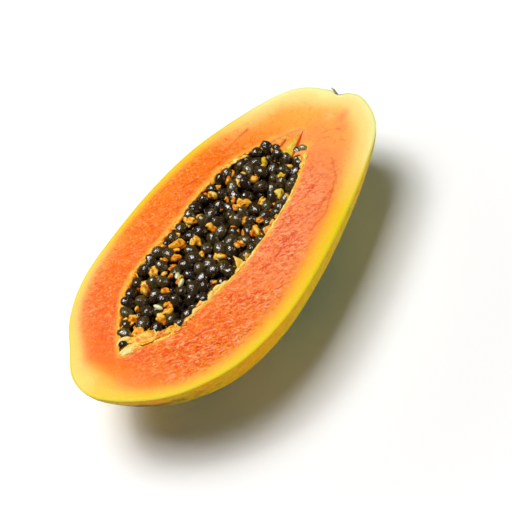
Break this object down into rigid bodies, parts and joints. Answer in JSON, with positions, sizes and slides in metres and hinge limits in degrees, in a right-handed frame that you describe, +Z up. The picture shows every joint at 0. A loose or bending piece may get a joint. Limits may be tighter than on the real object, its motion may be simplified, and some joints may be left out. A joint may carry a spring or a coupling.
{
  "type": "papaya half",
  "caption": "Ripe papaya half, cut lengthwise and lying on its skin: orange flesh, yellow-green skin, and a long open cavity filled with glossy black seeds in yellow placenta.",
  "frame": {"origin": "on the ground, under the middle of the half's bounding box", "axes": "+X from the blossom tip to the stem end, +Y to the side with the thinner flesh, +Z up, out of the cut face"},
  "size_m": [0.2232, 0.1092, 0.0509],
  "materials": {
    "flesh": "moist orange flesh, paler and yellow towards a smooth waxy yellow-green skin",
    "placenta": "wet, soft, yellow to orange tissue",
    "seeds": "black-olive seeds in a clear, wet, glossy coat"
  },
  "bodies": {
    "root": {"flesh_half": "flesh", "placenta": "placenta", "seeds": "seeds"}
  },
  "joints": []
}
